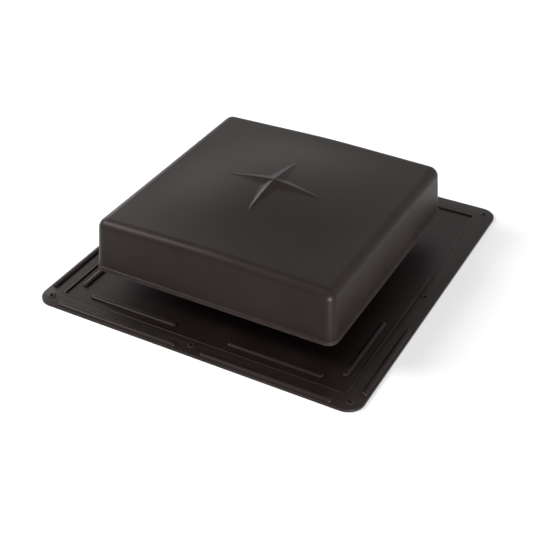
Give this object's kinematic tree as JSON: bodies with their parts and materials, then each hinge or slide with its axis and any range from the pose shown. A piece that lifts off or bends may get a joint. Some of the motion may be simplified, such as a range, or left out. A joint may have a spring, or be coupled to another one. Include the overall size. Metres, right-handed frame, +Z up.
{
  "type": "roof vent",
  "caption": "Square-hooded plastic roof vent: a flat nailing flange with water beads and a round throat under a crowned rain hood.",
  "frame": {"origin": "centre of the flange's flat underside", "axes": "+Z up out of the roof, +Y up the slope under the shingles, +X along the front edge"},
  "size_m": [0.437, 0.46, 0.125],
  "materials": {
    "dark_plastic": "satin moulded, very dark brown"
  },
  "bodies": {
    "root": {"base_flange": "dark_plastic", "hood": "dark_plastic", "louvre_ring": "dark_plastic"}
  },
  "joints": []
}
